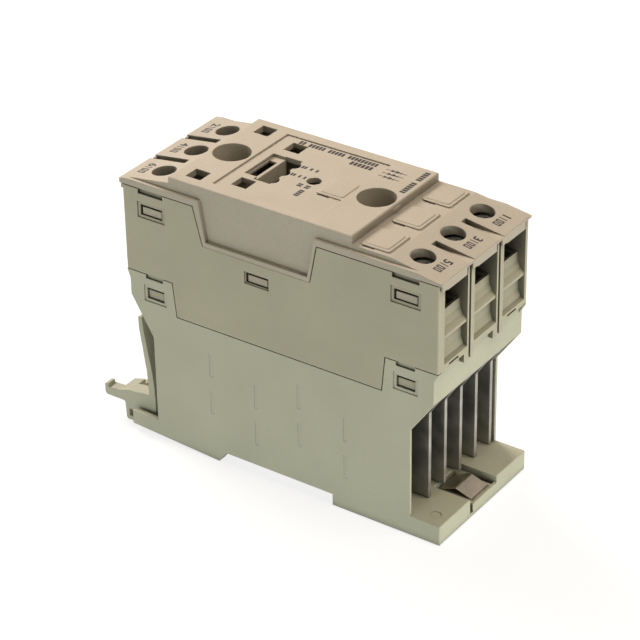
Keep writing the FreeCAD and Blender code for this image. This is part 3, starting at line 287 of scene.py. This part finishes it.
def ink():
    """Dark pad-printed ink, a little worn."""
    s = Shader("print_ink")
    fresh, faded = (0.020, 0.018, 0.018), (0.085, 0.075, 0.065)
    wear = s.noise(0.25, rough=0.7)
    s.colour(s.mix(s.fade(wear, 0.5, 0.8), fresh, faded))
    s.rough(s.ramp(wear, 0.42, 0.62, 0.3, 0.7))
    s.bump(wear, 0.004)
    return s.material


# Each moulded plastic's reach_mm and recess set how far its painted shade in recesses reaches.
MATERIALS = {
    "cover_plastic": moulded("cover_plastic", (0.525, 0.478, 0.378), recess=(0.19, 0.60)),
    "housing_plastic": moulded("housing_plastic", (0.490, 0.474, 0.345), reach_mm=16.0,
                               recess=(0.36, 0.90)),
    "base_plastic": moulded("base_plastic", GREY_GREEN, reach_mm=5.0),
    "clip_plastic": moulded("clip_plastic", GREY_GREEN, reach_mm=1.0, recess=(0.0, 0.3)),
    # the heat sink's reach_mm gives painted shade between its fins
    "sink_aluminium": metal("sink_aluminium", (0.62, 0.61, 0.56), roughness=0.42,
                            stretch=(0.04, 1, 1), reach_mm=8.0),
    "spring_steel": metal("spring_steel", (0.56, 0.49, 0.38), roughness=0.34,
                          stretch=(0.06, 1, 1), stain=0.8),
    "screw_steel": metal("screw_steel", (0.60, 0.60, 0.58), roughness=0.30),
    "clamp_steel": metal("clamp_steel", (0.42, 0.42, 0.41), roughness=0.38, stretch=(0.1, 1, 1)),
    "bar_copper": metal("bar_copper", (0.70, 0.62, 0.55), roughness=0.32, stretch=(0.06, 1, 1)),
    "module_case": coated("module_case", (0.022, 0.022, 0.024), roughness=0.5),
    "film_grey": coated("film_grey", (0.33, 0.35, 0.37), roughness=0.75, grain_mm=0.8,
                        depth_mm=0.03),
    "board_laminate": board_laminate(),
    "header_plastic": coated("header_plastic", (0.030, 0.030, 0.030), roughness=0.45),
    "pin_brass": metal("pin_brass", (0.78, 0.62, 0.32), roughness=0.25),
    "led_lens": clear_guide("led_lens", (0.42, 0.62, 0.20)),
    "guide_clear": clear_guide("guide_clear", (0.50, 0.50, 0.45)),
    "varistor_coat": coated("varistor_coat", (0.02, 0.07, 0.25), roughness=0.3, coat=0.4),
    "coupler_case": coated("coupler_case", (0.72, 0.72, 0.68), roughness=0.4),
    "capacitor_case": coated("capacitor_case", (0.55, 0.38, 0.06), roughness=0.35, coat=0.3),
}
INK = ink()


def dress_cad_nodes():
    """Every CAD node takes the material of its slot."""
    slots = {row["node"]: row["material_slot"] for row in frame["record"]["subparts"]}
    for name, node in frame["nodes"].items():
        node.data.materials.clear()
        node.data.materials.append(MATERIALS[slots[name]])


# ------------------------------------------------------------------------------------------ print

INK_THICKNESS = 0.02 * MM
INK_LIFT = 0.8  # the height of a mark's middle above the cover, in ink thicknesses
RAY_CLEARANCE = 10 * MM
READS_ALONG, READS_ACROSS = 0, -90  # the turn of print that reads towards +X and towards -Y

TERMINAL_DIGITS = {"line": "135", "load": "246"}
TERMINAL_OFFSET = 6.05 * MM  # from the screw's axis towards the tongue's tip
DIGIT_TALL = 2.6 * MM
DIGIT_BOLDER = 0.09 * MM
DIGIT_SHARE = 0.70  # of the font's size
DIGIT_ASIDE, SIGN_ASIDE = 2.3 * MM, -0.35 * MM  # from the screw's axis along Y
STROKE_BEFORE, STROKE_WIDE = 1.0 * MM, 0.32 * MM

SIGN_FILL = 0.74  # a box's width as a share of its pitch
SYMBOL_X, SYMBOL_Y, SYMBOL_PITCH = 20.6 * MM, 15.0 * MM, 2.0 * MM


def glyph_mesh(name, text, height):
    """The digits of text as a thin solid, centred on the origin, with tops towards +Y."""
    curve = bpy.data.curves.new(name + "_outline", "FONT")
    curve.body = text
    curve.align_x, curve.align_y = "CENTER", "CENTER"
    curve.size = height / DIGIT_SHARE
    curve.offset = DIGIT_BOLDER
    curve.extrude = INK_THICKNESS / 2
    source = bpy.data.objects.new(name + "_outline", curve)
    mesh = bpy.data.meshes.new_from_object(source)
    bpy.data.objects.remove(source)
    return mesh


def shapes_mesh(name, outlines):
    """Flat convex outlines, each a list of (x, y), as thin solids in one mesh."""
    build = bmesh.new()
    for outline in outlines:
        top = [build.verts.new((x, y, INK_THICKNESS / 2)) for x, y in outline]
        bottom = [build.verts.new((x, y, -INK_THICKNESS / 2)) for x, y in outline]
        build.faces.new(top)
        build.faces.new(bottom[::-1])
        for i in range(len(outline)):
            j = (i + 1) % len(outline)
            build.faces.new((top[i], bottom[i], bottom[j], top[j]))
    bmesh.ops.recalc_face_normals(build, faces=build.faces)
    mesh = bpy.data.meshes.new(name)
    build.to_mesh(mesh)
    build.free()
    return mesh


def bar(x, y, length, width):
    """A rectangle centred at (x, y)."""
    return [(x - length / 2, y - width / 2), (x + length / 2, y - width / 2),
            (x + length / 2, y + width / 2), (x - length / 2, y + width / 2)]


def lay_print(name, mesh, x, y, turn):
    """Lays a printed mark on the cover at (x, y), with its own +X turned by turn degrees."""
    cover = frame["nodes"]["front_cover"]
    above = Vector((x, y, cad_high[2] + RAY_CLEARANCE))
    hit, place, normal, _ = cover.ray_cast(above, Vector((0, 0, -1)))
    if not hit:
        raise RuntimeError(name + " misses the cover")
    mark = bpy.data.objects.new(name, mesh)
    reading = Matrix.Rotation(math.radians(turn), 3, "Z") @ Vector((1, 0, 0))
    reading = (reading - normal * reading.dot(normal)).normalized()
    axes = Matrix((reading, normal.cross(reading), normal)).transposed().to_4x4()
    mark.matrix_world = Matrix.Translation(place + normal * INK_THICKNESS * INK_LIFT) @ axes
    bpy.context.scene.collection.objects.link(mark)
    mesh.materials.append(INK)
    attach(mark, "housing")


def signs(counts, pitch, tall, stroke):
    """Small hollow boxes in a row from the origin along +X, one group for each of counts.

    pitch, tall and stroke are in mm, and there is a pitch of space after each group.
    """
    shapes, x = [], 0.0
    wide = pitch * SIGN_FILL
    for count in counts:
        for _ in range(count):
            for side in (x + stroke / 2, x + wide - stroke / 2):
                shapes.append(bar(side * MM, 0, stroke * MM, tall * MM))
            middle, across = (x + wide / 2) * MM, (wide - 2 * stroke) * MM
            for level in (stroke - tall, tall - stroke):
                shapes.append(bar(middle, level / 2 * MM, across, stroke * MM))
            x += pitch
        x += pitch
    return shapes


def print_terminals():
    """A digit, a stroke and two boxes between each driver hole and its tongue's tip."""
    for side, digits in TERMINAL_DIGITS.items():
        outward = 1 if side == "line" else -1
        for pole, digit in enumerate(digits, start=1):
            low, high = (Vector(corner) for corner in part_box(f"{side}_screw_{pole}"))
            screw = (low + high) / 2
            x = screw.x + outward * TERMINAL_OFFSET
            name = f"{side}_digit_{pole}"
            number = glyph_mesh(name, digit, DIGIT_TALL)
            lay_print(name, number, x, screw.y + DIGIT_ASIDE, READS_ACROSS)
            name = f"{side}_sign_{pole}"
            strip = [bar(-STROKE_BEFORE, 0, STROKE_WIDE, DIGIT_TALL)]
            strip += signs((2,), pitch=1.6, tall=2.5, stroke=0.38)
            lay_print(name, shapes_mesh(name, strip), x, screw.y + SIGN_ASIDE, READS_ACROSS)


def print_label():
    """Rows of boxes in place of wording, and three switch symbols."""
    rows = {  # each row's boxes, where it starts in X and Y, in mm, and the way it reads
        "title_signs": (signs((2, 5, 5, 9), 1.1, 1.8, 0.38), -12.4, 15.95, READS_ALONG),
        "subtitle_signs": (signs((6,), 1.25, 1.9, 0.46), 6.4, 13.5, READS_ALONG),
        "input_signs_far": (signs((2, 1, 1), 0.95, 1.4, 0.32), -3.4, 4.2, READS_ALONG),
        "input_signs_near": (signs((2, 1, 1), 0.85, 1.4, 0.30), -3.5, -0.8, READS_ALONG),
        "light_signs": (signs((2, 4), 0.98, 1.5, 0.34), 4.7, -4.0, READS_ACROSS),
        "light_signs_short": (signs((2,), 0.98, 1.5, 0.34), 2.3, -4.0, READS_ACROSS),
        "maker_signs": (signs((5, 6), 1.15, 1.7, 0.42), 28.2, 19.4, READS_ACROSS),
    }
    for name, (shapes, x, y, turn) in rows.items():
        lay_print(name, shapes_mesh(name, shapes), x * MM, y * MM, turn)
    for row in range(3):
        name = f"switch_symbol_{row + 1}"
        y = SYMBOL_Y - SYMBOL_PITCH * row
        lay_print(name, shapes_mesh(name, switch_symbol()), SYMBOL_X, y, READS_ALONG)


def switch_symbol():
    """A pair of opposed triangles on a line: a switched pole, as circuit drawings show one."""
    thin = 0.22 * MM
    lead, lead_at = 1.6 * MM, 2.6 * MM
    half, tall, triangle_at = 0.75 * MM, 0.62 * MM, 0.85 * MM
    shapes = [bar(-lead_at, 0, lead, thin), bar(lead_at, 0, lead, thin)]
    for x in (-triangle_at, triangle_at):
        shapes.append([(x - half, -tall), (x + half, 0), (x - half, tall)])
        shapes.append(bar(x + half, 0, thin, 2 * tall))
    return shapes


# ----------------------------------------------------------------------------------------- studio

ROOM_WHITE = (1.0, 1.0, 0.99, 1.0)
ROOM_STRENGTHS = {None: 0.10, "Is Glossy Ray": 0.45, "Is Camera Ray": 1.0}
FLOOR_REACH = 6.0
FLOOR_GAP = 0.2 * MM
FLOOR_GLOW, FLOOR_GLOW_SEEN = 0.42, 0.80  # for the light it throws and as the camera sees it

AZIMUTH, ELEVATION, ROLL = 35.29, 30.97, -0.98  # degrees round from the near side, up, and tilt
CAMERA_TARGET = Vector((14.45, -13.7, 52.7)) * MM
CAMERA_DISTANCE = 703 * MM
SENSOR_MM, LENS_MM = 36.0, 144.6
NEAR_CLIP = 0.01


def aim(thing, target):
    direction = Vector(target) - thing.location
    thing.rotation_euler = direction.to_track_quat("-Z", "Y").to_euler()


def lamp(name, place, target, size, power, colour):
    """A soft rectangular lamp that the camera doesn't see."""
    data = bpy.data.lights.new(name, "AREA")
    data.shape = "RECTANGLE"
    data.size, data.size_y = size
    data.energy = power
    data.color = colour
    lamp_object = bpy.data.objects.new(name, data)
    lamp_object.location = place
    lamp_object.visible_camera = False
    bpy.context.scene.collection.objects.link(lamp_object)
    aim(lamp_object, target)


def surroundings():
    """A white backdrop for the camera, a bright room for reflections and a dim one for the rest."""
    world = bpy.data.worlds.new("studio")
    world.use_nodes = True
    nodes, links = world.node_tree.nodes, world.node_tree.links
    rays = nodes.new("ShaderNodeLightPath").outputs
    last = None
    for ray, strength in ROOM_STRENGTHS.items():
        room = nodes.new("ShaderNodeBackground")
        room.inputs["Color"].default_value = ROOM_WHITE
        room.inputs["Strength"].default_value = strength
        if ray is None:
            last = room.outputs[0]
            continue
        switch = nodes.new("ShaderNodeMixShader")
        links.new(rays[ray], switch.inputs["Fac"])
        links.new(last, switch.inputs[1])
        links.new(room.outputs[0], switch.inputs[2])
        last = switch.outputs[0]
    links.new(last, nodes["World Output"].inputs["Surface"])
    bpy.context.scene.world = world


def studio():
    """Soft boxes: the key from behind on the load side, so that the block shades the line deck."""
    bpy.context.scene.view_settings.view_transform = "Standard"
    surroundings()
    lamp("key_box", (-0.72, 0.26, 0.72), (0, 0, 0.06), size=(0.50, 0.50),
         power=9.4, colour=(1.0, 0.89, 0.83))
    lamp("top_box", (0.35, 0.05, 0.90), (0.03, 0, 0.03), size=(0.50, 0.50),
         power=4.2, colour=(1.0, 0.85, 0.72))
    lamp("near_fill", (-0.15, -1.10, 0.12), (0, 0, 0.05), size=(0.8, 0.3),
         power=2.15, colour=(0.95, 1.0, 0.90))
    lamp("near_kicker", (0, -0.22, 0.012), (0, 0, 0.015), size=(0.20, 0.02),
         power=0.03, colour=(0.97, 1.0, 0.93))
    lamp("foot_kicker", (0.22, -0.02, 0.012), (0.06, 0, 0.003), size=(0.10, 0.02),
         power=0.14, colour=(1.0, 1.0, 0.92))


def floor():
    """A white floor that glows: brighter to the camera than in the light it throws on the object."""
    mesh = bpy.data.meshes.new("floor")
    reach = FLOOR_REACH
    corners = [(-reach, -reach, 0), (reach, -reach, 0), (reach, reach, 0), (-reach, reach, 0)]
    mesh.from_pydata([Vector(c) for c in corners], [], [(0, 1, 2, 3)])
    ground = bpy.data.objects.new("floor", mesh)
    ground.location.z = cad_low[2] - FLOOR_GAP
    bpy.context.scene.collection.objects.link(ground)
    s = Shader("floor")
    tint = s.noise(400.0, detail=2.0)
    s.colour(s.mix(tint, (0.30, 0.30, 0.30), (0.33, 0.33, 0.33)))
    s.set(Roughness=0.9, Specular_IOR_Level=0.1)
    s.set(Emission_Color=(1.0, 1.0, 1.0, 1.0))
    seen = s.add("ShaderNodeLightPath").outputs["Is Camera Ray"]
    s.link(s.ramp(seen, FLOOR_GLOW, FLOOR_GLOW_SEEN), s.surface.inputs["Emission Strength"])
    mesh.materials.append(s.material)


def camera():
    """Long lens from the front right, a little above: the object's near side and line end show."""
    azimuth, elevation, roll = (math.radians(a) for a in (AZIMUTH, ELEVATION, ROLL))
    level = math.cos(elevation)
    back = Vector((math.sin(azimuth) * level, -math.cos(azimuth) * level, math.sin(elevation)))
    right = Vector((math.cos(azimuth), math.sin(azimuth), 0))
    up = back.cross(right)
    across = right * math.cos(roll) + up * math.sin(roll)
    upward = up * math.cos(roll) - right * math.sin(roll)
    data = bpy.data.cameras.new("camera")
    data.sensor_width = SENSOR_MM
    data.lens = LENS_MM
    data.clip_start = NEAR_CLIP
    view = bpy.data.objects.new("camera", data)
    turn = Matrix((across, upward, back)).transposed().to_4x4()
    view.matrix_world = Matrix.Translation(CAMERA_TARGET + back * CAMERA_DISTANCE) @ turn
    bpy.context.scene.collection.objects.link(view)
    bpy.context.scene.camera = view


dress_cad_nodes()
print_terminals()
print_label()
floor()
studio()
camera()
